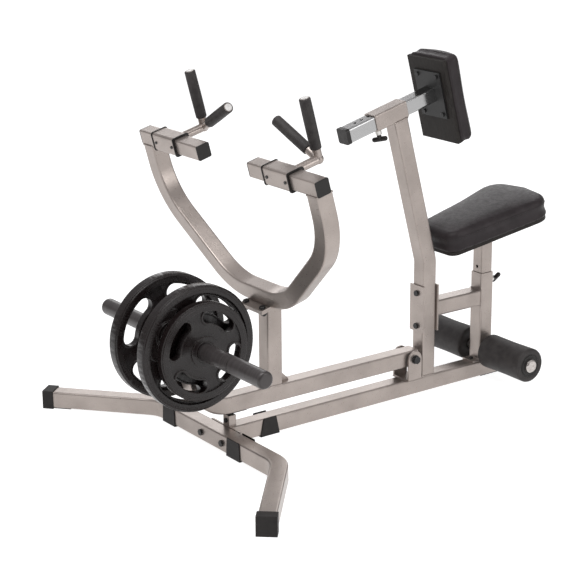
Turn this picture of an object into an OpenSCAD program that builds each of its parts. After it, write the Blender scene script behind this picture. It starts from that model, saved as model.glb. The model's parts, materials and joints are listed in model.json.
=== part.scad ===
// Plate-loaded lever row with a chest pad and an adjustable seat.
// Millimetres. +Z up, -Y toward the weight horns, +Y toward the seat, X across.
// The machine frame is laid out from the front face of the upright post (Y = 0)
// and then moved so that the origin is the middle of the footprint, on the floor.

/* [Tubes] */
// Outside width of the frame tubes
tube_w = 50.8; // [48:0.1:54]
// Wall of the frame tubes
tube_t = 2.6; // [2:0.1:3]
// Outside corner radius of the tubes
tube_r = 5; // [4:0.5:6]
// Outside width of the three sliding tubes
slide_w = 44.4; // [43:0.1:45]
// Gap on each side of a sliding tube
slide_gap = 0.1; // [0.05:0.01:0.15]
// Thickness of the rubber soles
sole_t = 3; // [2:0.5:5]

/* [Base] */
// Rail length ahead of the upright
rail_front = 723; // [660:1:800]
// Rail length behind the upright face
rail_rear = 323; // [310:1:400]
// Half distance between the bend corners of the front stabilizer
stab_half = 306; // [250:1:360]
// Length of a stabilizer leg from its bend corner
leg_len = 373; // [300:1:450]
// Turn of the stabilizer legs
leg_turn = 41; // [32:1:50]
// Middle radius of the stabilizer bends
stab_bend_r = 100; // [80:1:120]

/* [Upright and chest pad] */
// Height of the bend in the upright, on its middle line
kink_z = 424; // [395:1:480]
// Lean of the upright, the yoke and the weight neck
lean = 15; // [12:0.5:17]
// Length of the leaning part of the upright
lean_len = 470; // [400:1:530]
// Length of the chest pad sleeve
pad_sleeve_len = 121; // [115:1:135]
// Length of the chest pad tube
pad_tube_len = 341; // [330:1:370]
// Pitch of the chest pad holes
pad_pitch = 25; // [23:0.5:26]
// Chest pad width
pad_w = 172; // [150:1:210]
// Chest pad height
pad_h = 272; // [230:1:320]
// Chest pad thickness at its sides
pad_t = 46; // [38:1:60]

/* [Seat] */
// Distance from the upright face to the middle of the seat post
seat_post_y = 265; // [245:1:290]
// Height of the top of the seat post
seat_post_top = 346; // [330:1:380]
// Height of the seat board at the post
seat_z = 483; // [478:1:540]
// Tilt of the seat, higher at the rear
seat_tilt = 12; // [6:0.5:14]
// Pitch of the seat holes
seat_pitch = 25; // [23:0.5:26]
// Length of the seat cushion
seat_len = 404; // [350:1:450]
// Width of the seat cushion at the front
seat_front_w = 176; // [150:1:200]
// Width of the seat cushion at the rear
seat_rear_w = 256; // [220:1:290]
// Thickness of the seat cushion
seat_t = 62; // [50:1:74]
// Height of the roller shaft
roller_z = 91; // [85:1:100]
// Radius of the foam rollers
roller_r = 54; // [46:1:60]
// Length of a foam roller
roller_len = 185; // [160:1:210]

/* [Lever] */
// Height of the lever pivot
pivot_z = 122.5; // [115:0.5:135]
// Distance of the pivot ahead of the upright
pivot_y = 40; // [38:1:46]
// How far behind the front end of the rail the lever starts to bend
neck_back = 1; // [0:1:30]
// Middle radius of the lever bend
neck_bend_r = 110; // [95:1:125]
// Straight length of the neck up to the horn axis
neck_len = 142; // [120:1:170]
// Distance of the middle of the lever post ahead of the upright
post_y = 562; // [520:1:600]
// Height of the underside of the yoke
yoke_z = 410; // [380:1:440]

/* [Yoke and handles] */
// Half width of the flat bottom of the yoke
yoke_flat = 55; // [50:1:62]
// Middle radius of the yoke bends
yoke_bend_r = 210; // [180:1:230]
// Slope of the yoke between its bends
yoke_slope = 41; // [34:1:46]
// Length of the sloping part of the yoke
yoke_slope_len = 187; // [160:1:215]
// Length of the vertical part of the yoke arms
yoke_arm_len = 64; // [40:1:90]
// Length of the square slide tubes on the yoke
slide_len = 303; // [290:1:320]
// Length of a handle carriage
carriage_len = 112; // [100:1:116]
// Distance of the left carriage from the outer end of its slide tube
carriage_off_left = 169.5; // [146:0.5:181]
// Distance of the right carriage from the outer end of its slide tube
carriage_off_right = 133.5; // [131:0.5:166]
// Distance of the handle junction behind the slide tube axis
stem_len = 118; // [100:1:135]
// Radius of the handle bars
bar_r = 12.7; // [11:0.1:14]
// Radius of the handle grips
grip_r = 16; // [15:0.5:19]

/* [Weights] */
// Radius of the weight horns
horn_r = 25; // [24:0.1:25.3]
// Half distance between the horn tips
horn_half = 411; // [380:1:450]
// Radius of the large plates
plate_r = 182; // [160:1:200]
// Thickness of the large plates at the rim
plate_t = 38; // [32:1:44]
// Radius of the small plate
small_r = 141; // [120:1:150]
// Thickness of the small plate at the rim
small_t = 30; // [26:1:34]

/* [Hidden] */
$fn = 48;
corner_steps = 3;
// a bend is swollen by a hair, and the straight tubes run into it by the lap
bend_swell = 0.04;
bend_lap = 0.5;
half = tube_w / 2;
tube_in_r = tube_r - 1.5;
reach = 900;
// how far a cutter runs past what it cuts
past = 1;
// base
rail_z = sole_t;
rail_top = rail_z + tube_w;
stab_y = -rail_front - half;
stab_t = stab_bend_r * tan(leg_turn / 2);
flange_t = 6;
flange_w = 150;
flange_bolt_x = 54;
bolt_r = 5;
head_r = 9.5;
head_h = 6.5;
nut_h = 8;
bolt_tail = 4;
cap_t = 3;
cap_len = 30;
end_wall = 4;
cap_sole = 84;
rail_sole = 71;
clip_t = 3;
clip_bottom = 68;
clip_rise = 2;
stab_clip_top = 60;
stab_clip_x = [114, 78 - stab_half];
rail_clip_top = 44;
rail_clip_y = 138 - rail_front;
// upright and chest pad
upright_bend_r = 60;
bend_in = upright_bend_r * tan(lean / 2);
slide_half = slide_w / 2;
sleeve_in = slide_w + 2 * slide_gap;
sleeve_wall = (tube_w - sleeve_in) / 2;
pad_z = lean_len + half;
pad_sleeve_rear = half + 4;
pad_sleeve_front = pad_sleeve_rear - pad_sleeve_len;
pad_pin_y = pad_sleeve_front + 18;
pad_tube_front = pad_pin_y - 5 * pad_pitch;
pad_tube_rear = pad_tube_front + pad_tube_len;
pad_steps = 3;
pad_drop = 20;
pad_bulge = 17;
pad_bulge_share = 0.2;
pad_bulge_fall = 3;
pad_bulge_in = 4;
pad_back = 2;
pad_plate_w = 115;
pad_plate_h = 147;
pad_screw_x = 42;
pad_screw_z = 60;
plate_steel = 5;
board_t = 12;
board_in = 4;
wood_screw_r = 3;
wood_screw_len = 10;
screw_head_r = 6.5;
screw_head_h = 5;
cup_t = 1.5;
cup_len = 10;
// pull pins
pin_r = 5;
pin_gap = 0.05;
pin_hole_gap = 0.3;
pin_tip = sleeve_wall + slide_gap + tube_t + 3;
housing_r = 9.5;
housing_len = 18;
stalk_r = 7;
stalk_gap = 0.5;
tee_len = 47;
tee_r = 7.5;
tee_off = 34;
tee_turn = -45;
// seat
seat_pin_z = 315;
seat_down = 2;
seat_up = 4;
seat_tube_bottom = seat_pin_z - seat_up * seat_pitch - 30;
mount_w = 110;
mount_l = 150;
mount_screw_x = 40;
mount_screw_y = 56;
foot_len = 104;
foot_t = 6;
foot_bolt_y = 38;
brace_z = 241.5;
bracket_w = 66;
bracket_z = 198;
bracket_h = 149;
bracket_t = 5;
bracket_bolt_z = [216, 322];
seat_front_r = 34;
seat_rear_r = 58;
seat_rear_bow = 14;
edge_r = 16;
// pivot
neck_y = rail_front - neck_back;
ear_in = half + 6.6;
ear_t = 6;
ear_r = 26;
ear_base_t = 5;
pivot_r = 8;
pivot_gap = 0.05;
bush_r = 12;
bush_len = 18;
bush_flange_r = 19;
bush_clear = 0.3;
pivot_tube_r = 16;
pivot_tail = 22;
washer_r = 14;
washer_t = 2.5;
pivot_head_r = 13;
pivot_head_h = 9;
pivot_nut_h = 11;
pivot_bolt_tail = 3;
pivot_tube_in = 1;
// lever and its stop
lever_top = pivot_z + half;
lever_low = pivot_z - half;
strip_t = 3;
strip_w = 40;
strip_len = 56;
stop_clear = 0.2;
stop_w = 30;
stop_d = 24;
stop_wall = 2.5;
stop_y = -rail_front + 2 + stop_d / 2;
strip_y = stop_y + 19;
bumper_t = 8;
bumper_top = lever_low - strip_t - stop_clear;
stop_top = bumper_top - bumper_t;
stop_bolt_z = (rail_top + stop_top) / 2;
stop_bolt_r = 4;
stop_head_r = 7;
stop_head_h = 5;
stop_bolt_tail = 5;
yoke_plate_t = 6;
yoke_plate_x = 55;
yoke_plate_y = 54;
yoke_bolt_x = 41;
yoke_bolt_y = 40;
yoke_lead = 16;
yoke_y = -post_y - yoke_lead;
gusset = 36;
gusset_t = 6;
gusset_toe = 4;
// yoke path, in its own leaning plane
knee = 90 - yoke_slope;
yoke_x1 = yoke_flat + yoke_bend_r * sin(yoke_slope);
yoke_z1 = half + yoke_bend_r * (1 - cos(yoke_slope));
yoke_x2 = yoke_x1 + yoke_slope_len * cos(yoke_slope);
yoke_z2 = yoke_z1 + yoke_slope_len * sin(yoke_slope);
yoke_x3 = yoke_x2 + yoke_bend_r * (1 - sin(yoke_slope));
yoke_z3 = yoke_z2 + yoke_bend_r * cos(yoke_slope);
arm_top = yoke_z3 + yoke_arm_len;
arm_out = yoke_x3 + half;
rail_in = arm_out - slide_len;
slide_y = -half + slide_half;
slide_z = arm_top + slide_half;
plug_t = 3;
plug_in = 12;
carriage_x_left = arm_out - carriage_off_left;
carriage_x_right = arm_out - carriage_off_right;
// handle carriages
liner_t = 2;
liner_len = 28;
liner_flange = 3;
flange_over = 2;
carriage_wall = 3;
carriage_in = sleeve_in + 2 * liner_t;
carriage_w = carriage_in + 2 * carriage_wall;
screw_in = 14;
screw_r = 4.5;
screw_h = 2.5;
screw_shank = 2.5;
ball_r = bar_r + 2;
grip_up = [30, 176];
grip_in = [42, 185];
grip_in_rise = 28;
bar_plug_r = bar_r - 2;
bar_plug_t = 2;
// weight neck, horns and plates
neck_turn = 90 - lean;
neck_over = 34;
horn_y = -neck_y - neck_bend_r * sin(neck_turn) - neck_len * cos(neck_turn);
horn_z = pivot_z + neck_bend_r * (1 - cos(neck_turn)) + neck_len * sin(neck_turn);
core_r = 18;
core_back = 14;
tip_round = 9;
collar_r = 38;
collar_t = 8;
collar_x = 46;
bore_gap = 0.1;
plate_clear = 0.5;
plate_x = collar_x + collar_t + plate_clear;
small_x = plate_x + plate_t + plate_clear;
hub_r = 44;
rim_w = 23;
rim_step = 4;
hub_dip = 1;
web_t = 16;
lip_w = 5;
lip_t = 24;
windows = 4;
window_span = 44;
window_turn = 60;
window_in = 0.57;
window_out = 0.83;
// rollers
shaft_r = 12.7;
shaft_gap = 0.05;
roller_in = 46;
core_out_r = 20;
core_flange_r = 36;
core_flange_t = 4;
roller_cap_r = 21;
roller_cap_t = 9;
roller_cap_bevel = 4;
roller_clear = 0.3;
// middle of the footprint
seat_rear_y = seat_post_y + seat_len / 2 * cos(seat_tilt);
front_y = horn_y - plate_r;
shift_y = -(front_y + seat_rear_y) / 2;

// ---- shared shapes ----

// rounded square outline, its corners cut in short steps
function corner(w, r, k) = [for (i = [0 : corner_steps])
  let (a = k * 90 + i * 90 / corner_steps, c = w / 2 - r,
       sx = (k == 0 || k == 3) ? 1 : -1, sy = (k < 2) ? 1 : -1)
  [sx * c + r * cos(a), sy * c + r * sin(a)]];

module round_square(w, r) {
  polygon([for (k = [0 : 3]) each corner(w, r, k)]);
}

module tube_outline(w, wall) {
  difference() {
    round_square(w, tube_r);
    round_square(w - 2 * wall, tube_in_r);
  }
}

// straight square tube along +Z
module square_tube(len, w = tube_w, wall = tube_t) {
  linear_extrude(len) tube_outline(w, wall);
}

// straight stretch of a bent tube, let into the bend before it and the bend after it
module run(len, before = 0, behind = 0) {
  translate([0, 0, -before * bend_lap]) square_tube(len + (before + behind) * bend_lap);
}

// bend that starts along +Z and turns toward -Y
module elbow(r, turn) {
  translate([0, -r, 0]) rotate([90, 0, 90]) rotate_extrude(angle = turn, $fn = 96)
    translate([r, 0]) tube_outline(tube_w + bend_swell, tube_t + bend_swell);
}

// frame at the end of such a bend
module after(r, turn) {
  translate([0, -r * (1 - cos(turn)), r * sin(turn)]) rotate([turn, 0, 0]) children();
}

module across(x) {
  translate([x, 0, 0]) rotate([0, 90, 0]) children();
}

module machine() {
  translate([0, shift_y, 0]) children();
}

module lean_frame() {
  machine() translate([0, half, kink_z]) rotate([lean, 0, 0]) children();
}

module yoke_frame() {
  machine() translate([0, yoke_y, yoke_z]) rotate([lean, 0, 0]) children();
}

module seat_frame() {
  machine() translate([0, seat_post_y, seat_z]) rotate([seat_tilt, 0, 0]) children();
}

module horn_frame() {
  machine() translate([0, horn_y, horn_z]) children();
}

module stab_frame() {
  machine() translate([0, stab_y, rail_z + half]) children();
}

// start of the straight part of the left stabilizer leg
module leg_frame() {
  stab_frame() translate([stab_half - stab_t, 0, 0]) rotate([0, 90, 0])
    after(stab_bend_r, leg_turn) children();
}

module both() {
  children();
  mirror([1, 0, 0]) children();
}

module hex(r, h) {
  cylinder(r = r, h = h, $fn = 6);
}

// bolt along +Z: head below zero, nut above the grip length
module bolt(grip) {
  translate([0, 0, -head_h]) hex(head_r, head_h);
  cylinder(r = bolt_r, h = grip + nut_h + bolt_tail);
}

module nut() {
  difference() {
    hex(head_r, nut_h);
    translate([0, 0, -past]) cylinder(r = bolt_r, h = nut_h + 2 * past);
  }
}

// short bolt along +Z whose tail stays inside a tube
module small_bolt(grip) {
  translate([0, 0, -stop_head_h]) hex(stop_head_r, stop_head_h);
  cylinder(r = stop_bolt_r, h = grip + stop_bolt_tail);
}

// screw with its head below zero and its shank above
module wood_screw() {
  translate([0, 0, -screw_head_h]) hex(screw_head_r, screw_head_h);
  cylinder(r = wood_screw_r, h = plate_steel + wood_screw_len);
}

// ---- base ----

leg_straight = leg_len - stab_t;

module front_stabilizer() {
  color([0.66, 0.63, 0.6]) difference() {
    union() {
      stab_frame() across(stab_t - stab_half) run(2 * (stab_half - stab_t), 1, 1);
      both() {
        stab_frame() translate([stab_half - stab_t, 0, 0]) rotate([0, 90, 0])
          elbow(stab_bend_r, leg_turn);
        leg_frame() run(leg_straight, 1);
      }
    }
    for (s = [-1, 1]) stab_frame() translate([s * flange_bolt_x, -tube_w, 0])
      rotate([-90, 0, 0]) cylinder(r = bolt_r, h = 2 * tube_w);
  }
}

module stabilizer_cap() {
  leg_frame() translate([0, 0, leg_straight]) difference() {
    union() {
      translate([-half - cap_t, -half - cap_t, -cap_len])
        cube([tube_w + cap_t + sole_t, tube_w + 2 * cap_t, cap_len + end_wall]);
      translate([half, -half + tube_r, -cap_sole]) cube([sole_t, tube_w - 2 * tube_r, cap_sole]);
    }
    translate([0, 0, -cap_len - past]) linear_extrude(cap_len + past)
      round_square(tube_w, tube_r);
  }
}

module stabilizer_caps() {
  color([0.12, 0.12, 0.12]) both() stabilizer_cap();
}

// rubber saddle pushed up round a tube that runs along X
module clip_foot(top) {
  for (s = [-1, 1]) translate([0, s * (half + clip_t / 2) + clip_t / 2, -half - sole_t])
    rotate([90, 0, 0]) linear_extrude(clip_t) polygon([
      [-clip_bottom / 2, 0], [clip_bottom / 2, 0],
      [top / 2, tube_w + sole_t + clip_rise], [-top / 2, tube_w + sole_t + clip_rise]]);
  translate([-clip_bottom / 2, -half, -half - sole_t]) cube([clip_bottom, tube_w, sole_t]);
}

module clip_feet() {
  color([0.12, 0.12, 0.12]) {
    for (x = stab_clip_x) stab_frame() translate([x, 0, 0]) clip_foot(stab_clip_top);
    machine() translate([0, rail_clip_y, rail_z + half]) rotate([0, 0, 90])
      clip_foot(rail_clip_top);
  }
}

module main_rail() {
  color([0.66, 0.63, 0.6]) machine() difference() {
    union() {
      translate([0, -rail_front + flange_t, rail_z + half]) rotate([-90, 0, 0])
        square_tube(rail_front + rail_rear - flange_t);
      translate([-flange_w / 2, -rail_front, rail_z]) cube([flange_w, flange_t, tube_w]);
    }
    for (s = [-1, 1]) translate([s * flange_bolt_x, -rail_front - past, rail_z + half])
      rotate([-90, 0, 0]) cylinder(r = bolt_r, h = flange_t + 2 * past);
    for (s = [-1, 1]) translate([0, seat_post_y + s * foot_bolt_y, rail_top - 2 * tube_t])
      cylinder(r = stop_bolt_r, h = 3 * tube_t);
  }
}

module rail_cap() {
  color([0.12, 0.12, 0.12]) machine() translate([0, rail_rear, rail_z + half])
    rotate([-90, 0, 0]) {
      linear_extrude(end_wall) round_square(tube_w, tube_r);
      translate([0, 0, -plug_in]) linear_extrude(plug_in + past)
        round_square(tube_w - 2 * tube_t, tube_in_r);
      translate([-half + tube_r, half, -rail_sole])
        cube([tube_w - 2 * tube_r, sole_t, rail_sole + end_wall]);
    }
}

module frame_bolts() {
  color([0.2, 0.2, 0.2]) machine() {
    for (s = [-1, 1]) {
      translate([s * flange_bolt_x, -rail_front - tube_w, rail_z + half]) rotate([-90, 0, 0])
        bolt(tube_w + flange_t);
      translate([s * flange_bolt_x, -rail_front + flange_t, rail_z + half]) rotate([-90, 0, 0])
        nut();
      translate([0, seat_post_y + s * foot_bolt_y, rail_top + foot_t]) rotate([180, 0, 0])
        small_bolt(foot_t + tube_t);
    }
    for (z = bracket_bolt_z) {
      translate([0, -bracket_t, z]) rotate([-90, 0, 0]) bolt(tube_w + 2 * bracket_t);
      translate([0, tube_w + bracket_t, z]) rotate([-90, 0, 0]) nut();
    }
    translate([0, stop_y - stop_d / 2, stop_bolt_z]) rotate([-90, 0, 0])
      small_bolt(stop_wall);
  }
}

module upright_post() {
  color([0.66, 0.63, 0.6]) difference() {
    union() {
      machine() translate([0, half, rail_top]) run(kink_z - bend_in - rail_top, 0, 1);
      machine() translate([0, half, kink_z - bend_in]) elbow(upright_bend_r, lean);
      lean_frame() translate([0, 0, bend_in]) run(lean_len - bend_in, 1);
    }
    for (z = bracket_bolt_z) machine() translate([0, -past, z]) rotate([-90, 0, 0])
      cylinder(r = bolt_r, h = tube_w + 2 * past);
  }
}

module pad_sleeve() {
  color([0.66, 0.63, 0.6]) lean_frame() difference() {
    translate([0, pad_sleeve_front, pad_z]) rotate([-90, 0, 0]) linear_extrude(pad_sleeve_len)
      difference() {
        round_square(tube_w, tube_r);
        round_square(sleeve_in, tube_r);
      }
    translate([0, pad_pin_y, pad_z - tube_w]) cylinder(r = pin_r + pin_gap, h = tube_w);
  }
}

module housing() {
  difference() {
    cylinder(r = housing_r, h = housing_len);
    translate([0, 0, -past]) cylinder(r = pin_r + pin_gap, h = housing_len + 2 * past);
  }
}

module pin_housings() {
  color([0.7, 0.68, 0.65]) {
    lean_frame() translate([0, pad_pin_y, pad_z - half]) rotate([180, 0, 0]) housing();
    machine() translate([0, seat_post_y + half, seat_pin_z]) rotate([-90, 0, 0]) housing();
  }
}

module bracket_plates() {
  color([0.66, 0.63, 0.6]) machine() difference() {
    for (y = [-bracket_t, tube_w]) translate([-bracket_w / 2, y, bracket_z])
      cube([bracket_w, bracket_t, bracket_h]);
    for (z = bracket_bolt_z) translate([0, -bracket_t - past, z]) rotate([-90, 0, 0])
      cylinder(r = bolt_r, h = tube_w + 2 * bracket_t + 2 * past);
  }
}

module seat_brace() {
  color([0.66, 0.63, 0.6]) machine() translate([0, tube_w + bracket_t, brace_z + half])
    rotate([-90, 0, 0]) square_tube(seat_post_y - half - tube_w - bracket_t);
}

module seat_post() {
  color([0.66, 0.63, 0.6]) machine() difference() {
    union() {
      translate([0, seat_post_y, rail_top + foot_t]) linear_extrude(seat_post_top - rail_top - foot_t)
        difference() {
          round_square(tube_w, tube_r);
          round_square(sleeve_in, tube_r);
        }
      translate([-half, seat_post_y - foot_len / 2, rail_top]) cube([tube_w, foot_len, foot_t]);
    }
    translate([0, seat_post_y, roller_z]) across(-tube_w) cylinder(r = shaft_r, h = 2 * tube_w);
    translate([0, seat_post_y, seat_pin_z]) rotate([-90, 0, 0])
      cylinder(r = pin_r + pin_gap, h = tube_w);
    for (s = [-1, 1]) translate([0, seat_post_y + s * foot_bolt_y, rail_top - past])
      cylinder(r = stop_bolt_r, h = foot_t + 2 * past);
  }
}

module pivot_bracket() {
  color([0.66, 0.63, 0.6]) machine() difference() {
    union() {
      translate([-ear_in - ear_t, -pivot_y - ear_r, rail_top])
        cube([2 * (ear_in + ear_t), 2 * ear_r, ear_base_t]);
      both() {
        translate([ear_in, -pivot_y - ear_r, rail_top])
          cube([ear_t, 2 * ear_r, pivot_z - rail_top]);
        translate([0, -pivot_y, pivot_z]) across(ear_in) cylinder(r = ear_r, h = ear_t);
      }
    }
    translate([0, -pivot_y, pivot_z]) across(-2 * tube_w) cylinder(r = pivot_r, h = 4 * tube_w);
  }
}

pivot_out = ear_in + ear_t;

module pivot_bolt() {
  color([0.2, 0.2, 0.2]) machine() translate([0, -pivot_y, pivot_z]) {
    for (s = [-1, 1]) scale([s, 1, 1]) across(pivot_out) difference() {
      cylinder(r = washer_r, h = washer_t);
      translate([0, 0, -past]) cylinder(r = pivot_r, h = washer_t + 2 * past);
    }
    across(pivot_out + washer_t) hex(pivot_head_r, pivot_head_h);
    across(-pivot_out - washer_t - pivot_nut_h - pivot_bolt_tail)
      cylinder(r = pivot_r, h = 2 * (pivot_out + washer_t) + pivot_nut_h + pivot_bolt_tail);
    across(-pivot_out - washer_t - pivot_nut_h) difference() {
      hex(pivot_head_r, pivot_nut_h);
      translate([0, 0, -past]) cylinder(r = pivot_r, h = pivot_nut_h + 2 * past);
    }
  }
}

module lever_stop() {
  color([0.66, 0.63, 0.6]) machine() difference() {
    translate([-stop_w / 2, stop_y - stop_d / 2, rail_top]) cube([stop_w, stop_d, stop_top - rail_top]);
    translate([-stop_w / 2 + stop_wall, stop_y - stop_d / 2 + stop_wall, rail_top - past])
      cube([stop_w - 2 * stop_wall, stop_d - 2 * stop_wall, stop_top - rail_top - stop_wall + past]);
    translate([0, stop_y - stop_d, stop_bolt_z]) rotate([-90, 0, 0])
      cylinder(r = stop_bolt_r, h = stop_d);
  }
}

module stop_bumper() {
  color([0.12, 0.12, 0.12]) machine() translate([0, stop_y, stop_top])
    cylinder(r = stop_d / 2, h = bumper_t);
}

module roller_axis() {
  machine() translate([0, seat_post_y, roller_z]) children();
}

roller_out = roller_in + roller_len;

module roller_shaft() {
  color([0.7, 0.7, 0.7]) roller_axis() across(-roller_out - roller_clear)
    cylinder(r = shaft_r, h = 2 * (roller_out + roller_clear));
}

module roller_caps() {
  color([0.85, 0.85, 0.85]) both() roller_axis() across(roller_out + roller_clear) {
    cylinder(r = roller_cap_r, h = roller_cap_t - roller_cap_bevel);
    translate([0, 0, roller_cap_t - roller_cap_bevel])
      cylinder(r1 = roller_cap_r, r2 = roller_cap_r - roller_cap_bevel, h = roller_cap_bevel);
  }
}

module roller_foam() {
  roller_axis() across(roller_in) difference() {
    cylinder(r = roller_r, h = roller_len, $fn = 72);
    translate([0, 0, -past]) cylinder(r = core_out_r, h = roller_len + 2 * past);
    translate([0, 0, roller_len - core_flange_t])
      cylinder(r = core_flange_r, h = core_flange_t + past);
  }
}

module roller_core() {
  roller_axis() across(roller_in) difference() {
    union() {
      cylinder(r = core_out_r, h = roller_len);
      translate([0, 0, roller_len - core_flange_t]) cylinder(r = core_flange_r, h = core_flange_t);
    }
    translate([0, 0, -past]) cylinder(r = shaft_r + shaft_gap, h = roller_len + 2 * past);
  }
}

module roller_foam_left() {
  color([0.15, 0.15, 0.15]) roller_foam();
}

module roller_core_left() {
  color([0.1, 0.1, 0.1]) roller_core();
}

module roller_foam_right() {
  color([0.15, 0.15, 0.15]) mirror([1, 0, 0]) roller_foam();
}

module roller_core_right() {
  color([0.1, 0.1, 0.1]) mirror([1, 0, 0]) roller_core();
}

// ---- lever ----

lever_run = neck_y - pivot_y + pivot_tail;

module lever_arm() {
  color([0.66, 0.63, 0.6]) difference() {
    union() {
      machine() translate([0, pivot_tail - pivot_y, pivot_z]) rotate([90, 0, 0])
        rotate([0, 0, 180]) {
          run(lever_run, 0, 1);
          translate([0, 0, lever_run]) {
            elbow(neck_bend_r, neck_turn);
            after(neck_bend_r, neck_turn) run(neck_len + neck_over, 1);
          }
        }
      machine() translate([0, -pivot_y, pivot_z]) across(pivot_tube_in - half)
        cylinder(r = pivot_tube_r, h = tube_w - 2 * pivot_tube_in);
    }
    machine() translate([0, -pivot_y, pivot_z]) across(-tube_w) cylinder(r = bush_r, h = 2 * tube_w);
    horn_frame() across(-tube_w) cylinder(r = core_r, h = 2 * tube_w);
  }
}

module pivot_bushings() {
  color([0.12, 0.12, 0.12]) machine() translate([0, -pivot_y, pivot_z]) both() difference() {
    union() {
      across(half - bush_len) cylinder(r = bush_r, h = bush_len);
      across(half) cylinder(r = bush_flange_r, h = ear_in - half - bush_clear);
    }
    across(0) cylinder(r = pivot_r + pivot_gap, h = tube_w);
  }
}

module stop_strip() {
  color([0.12, 0.12, 0.12]) machine()
    translate([-strip_w / 2, strip_y - strip_len / 2, lever_low - strip_t])
      cube([strip_w, strip_len, strip_t]);
}

module yoke_bolt_holes() {
  for (x = [-1, 1]) for (y = [-1, 1]) translate([x * yoke_bolt_x, y * yoke_bolt_y, -4 * yoke_plate_t])
    cylinder(r = bolt_r, h = 6 * yoke_plate_t);
}

module lever_post() {
  color([0.66, 0.63, 0.6]) union() {
    difference() {
      machine() translate([0, -post_y, lever_top]) square_tube(yoke_z - lever_top + tube_w);
      yoke_frame() translate([-reach / 2, -reach / 2, -2 * yoke_plate_t]) cube([reach, reach, reach]);
    }
    yoke_frame() difference() {
      translate([-yoke_plate_x, -yoke_plate_y, -2 * yoke_plate_t])
        cube([2 * yoke_plate_x, 2 * yoke_plate_y, yoke_plate_t]);
      yoke_bolt_holes();
    }
  }
}

module post_gusset() {
  color([0.66, 0.63, 0.6]) machine() translate([-gusset_t / 2, -post_y + half, lever_top])
    rotate([90, 0, 90]) linear_extrude(gusset_t)
      polygon([[0, 0], [gusset, 0], [gusset, gusset_toe], [gusset_toe, gusset], [0, gusset]]);
}

module yoke_plate() {
  color([0.66, 0.63, 0.6]) yoke_frame() difference() {
    translate([-yoke_plate_x, -yoke_plate_y, -yoke_plate_t])
      cube([2 * yoke_plate_x, 2 * yoke_plate_y, yoke_plate_t]);
    yoke_bolt_holes();
  }
}

// one side of the yoke, from the middle of its bottom to the top of its arm
module yoke_half() {
  yoke_frame() translate([0, 0, half]) rotate([0, 90, 0]) rotate([0, 0, -90]) {
    run(yoke_flat, 1, 1);
    translate([0, 0, yoke_flat]) {
      elbow(yoke_bend_r, yoke_slope);
      after(yoke_bend_r, yoke_slope) {
        run(yoke_slope_len, 1, 1);
        translate([0, 0, yoke_slope_len]) {
          elbow(yoke_bend_r, knee);
          after(yoke_bend_r, knee) run(yoke_arm_len, 1);
        }
      }
    }
  }
}

module yoke() {
  color([0.66, 0.63, 0.6]) both() yoke_half();
}

module yoke_bolts() {
  color([0.2, 0.2, 0.2]) yoke_frame() for (x = [-1, 1]) for (y = [-1, 1])
    translate([x * yoke_bolt_x, y * yoke_bolt_y, 0]) rotate([180, 0, 0]) {
      bolt(2 * yoke_plate_t);
      translate([0, 0, 2 * yoke_plate_t]) nut();
    }
}

module slide_tubes() {
  color([0.7, 0.67, 0.64]) both() yoke_frame() translate([0, slide_y, slide_z]) across(rail_in)
    square_tube(slide_len, slide_w, tube_t);
}

module slide_plug() {
  translate([0, 0, -plug_t]) linear_extrude(plug_t) round_square(slide_w, tube_r);
  linear_extrude(plug_in) round_square(slide_w - 2 * tube_t, tube_in_r);
}

module slide_plugs() {
  color([0.1, 0.1, 0.1]) both() yoke_frame() translate([0, slide_y, slide_z]) {
    across(rail_in) slide_plug();
    translate([arm_out, 0, 0]) rotate([0, -90, 0]) slide_plug();
  }
}

module horn_core() {
  color([0.5, 0.5, 0.5]) horn_frame() across(-horn_half + core_back)
    cylinder(r = core_r, h = 2 * (horn_half - core_back));
}

horn_len = horn_half - half;

module horn_sleeves() {
  color([0.1, 0.1, 0.1]) both() horn_frame() across(half) difference() {
    rotate_extrude($fn = 64) {
      square([horn_r, horn_len - tip_round]);
      square([horn_r - tip_round, horn_len]);
      translate([horn_r - tip_round, horn_len - tip_round]) circle(r = tip_round, $fn = 32);
    }
    translate([0, 0, -past]) cylinder(r = core_r, h = horn_len - core_back + past);
  }
}

module horn_collars() {
  color([0.15, 0.15, 0.15]) both() horn_frame() across(collar_x) difference() {
    cylinder(r = collar_r, h = collar_t);
    translate([0, 0, -past]) cylinder(r = horn_r, h = collar_t + 2 * past);
  }
}

// ---- handle carriages ----

module carriage_frame(x) {
  yoke_frame() translate([x, slide_y, slide_z]) children();
}

module inner_bar(from, to, r) {
  rotate([0, grip_in_rise - 90, 0]) translate([0, 0, from]) cylinder(r = r, h = to - from);
}

module carriage(x) {
  carriage_frame(x) {
    difference() {
      across(-carriage_len / 2) linear_extrude(carriage_len) difference() {
        round_square(carriage_w, tube_r + carriage_wall);
        round_square(carriage_in, tube_r);
      }
      for (s = [-1, 1]) translate([s * (carriage_len / 2 - screw_in), -carriage_w, 0])
        rotate([-90, 0, 0]) cylinder(r = screw_shank, h = carriage_w);
    }
    translate([0, carriage_w / 2, 0]) rotate([-90, 0, 0])
      cylinder(r = bar_r, h = stem_len - carriage_w / 2);
    translate([0, stem_len, 0]) {
      sphere(r = ball_r);
      cylinder(r = bar_r, h = grip_up[1]);
      inner_bar(0, grip_in[1], bar_r);
    }
  }
}

module carriage_left() {
  color([0.72, 0.7, 0.67]) carriage(carriage_x_left);
}

module carriage_right() {
  color([0.72, 0.7, 0.67]) mirror([1, 0, 0]) carriage(carriage_x_right);
}

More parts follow.
